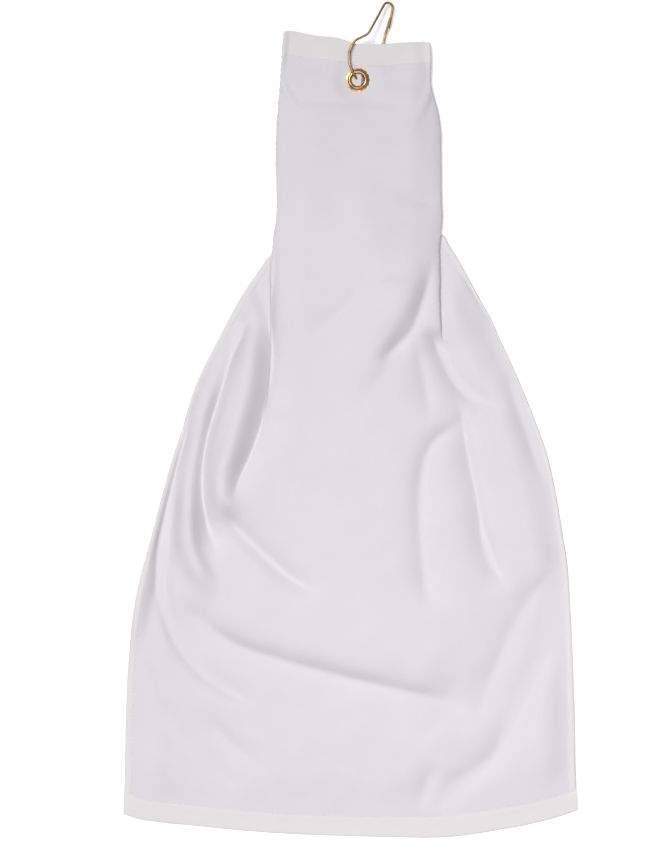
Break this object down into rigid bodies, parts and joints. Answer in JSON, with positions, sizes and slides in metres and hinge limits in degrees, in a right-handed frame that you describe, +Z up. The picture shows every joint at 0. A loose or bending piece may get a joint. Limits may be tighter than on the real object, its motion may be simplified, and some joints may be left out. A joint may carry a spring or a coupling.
{
  "type": "golf towel",
  "caption": "Trifold golf towel in hemmed terry velour, folded at its top where a brass grommet clamps the layers, with a bent brass wire hook through the grommet and an open skirt below.",
  "frame": {"origin": "centre of the bounding box in plan, on the surface that the towel lies on", "axes": "+X to the right, +Y along the towel's length from the skirt to the hook, +Z up from the surface, out of the towel's front face"},
  "size_m": [0.3888, 0.7135, 0.0165],
  "materials": {
    "terry_velour": "sheared terry pile, matt, soft white",
    "woven_hem": "flat twill weave, matt, slightly warmer white",
    "thread": "white polyester sewing thread",
    "grommet_brass": "bright plated brass, slightly worn on the rolled edge",
    "hook_brass": "bright drawn wire, slightly darker than the grommet"
  },
  "bodies": {
    "towel": {"front_panel": "terry_velour", "left_flap_folded": "terry_velour", "right_flap_folded": "terry_velour", "left_flap_open": "terry_velour", "right_flap_open": "terry_velour", "top_hem_front": "woven_hem", "top_hem_left_flap": "woven_hem", "top_hem_right_flap": "woven_hem", "left_side_hem": "woven_hem", "right_side_hem": "woven_hem", "bottom_hem": "woven_hem", "top_hem_stitching": "thread", "left_side_stitching": "thread", "right_side_stitching": "thread", "bottom_hem_stitching": "thread", "grommet_eyelet": "grommet_brass", "grommet_washer": "grommet_brass"},
    "hook": {"hook_frame": "hook_brass"},
    "gate": {"hook_gate": "hook_brass"}
  },
  "joints": [
    {"name": "hook_swing", "type": "hinge", "parent": "towel", "child": "hook", "pos_m": [0.0059, 0.2893, 0], "axis": [0, 0, 1], "range_deg": [-10, 50]},
    {"name": "gate_flex", "type": "hinge", "parent": "hook", "child": "gate", "pos_m": [0.019, 0.2864, 0.00135], "axis": [0, 0, 1], "range_deg": [0, 8], "stiffness_Nm_per_rad": 0.05}
  ]
}
